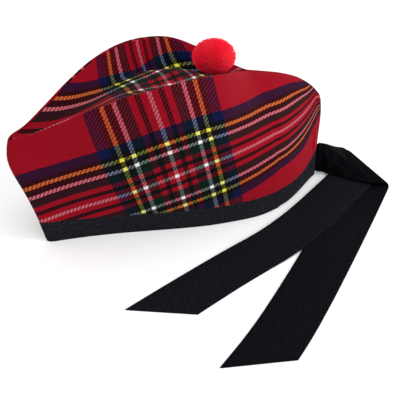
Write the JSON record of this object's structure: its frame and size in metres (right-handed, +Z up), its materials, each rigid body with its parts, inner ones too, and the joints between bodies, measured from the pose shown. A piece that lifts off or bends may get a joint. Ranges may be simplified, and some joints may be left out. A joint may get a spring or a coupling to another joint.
{
  "type": "glengarry",
  "caption": "Boat-shaped tartan wool cap with a folded crown, a black ribbon-bound rim, a red pompom and two ribbon tails behind.",
  "frame": {"origin": "middle of the base of the cap with its tails laid out, on the surface it rests on", "axes": "+Z up, -X towards the cap's front seam, -Y towards the side where the ribbon tails lie"},
  "size_m": [0.3558, 0.2826, 0.1609],
  "materials": {
    "tartan": "twill-woven wool, matt",
    "binding": "ribbed ribbon, matt",
    "wool": "fluffy wool yarn",
    "ribbon": "ribbed ribbon, matt"
  },
  "bodies": {
    "root": {"side_left": "tartan", "side_right": "tartan", "crown": "tartan", "band": "binding", "toorie": "wool", "tail_left": "ribbon", "tail_right": "ribbon"}
  },
  "joints": []
}
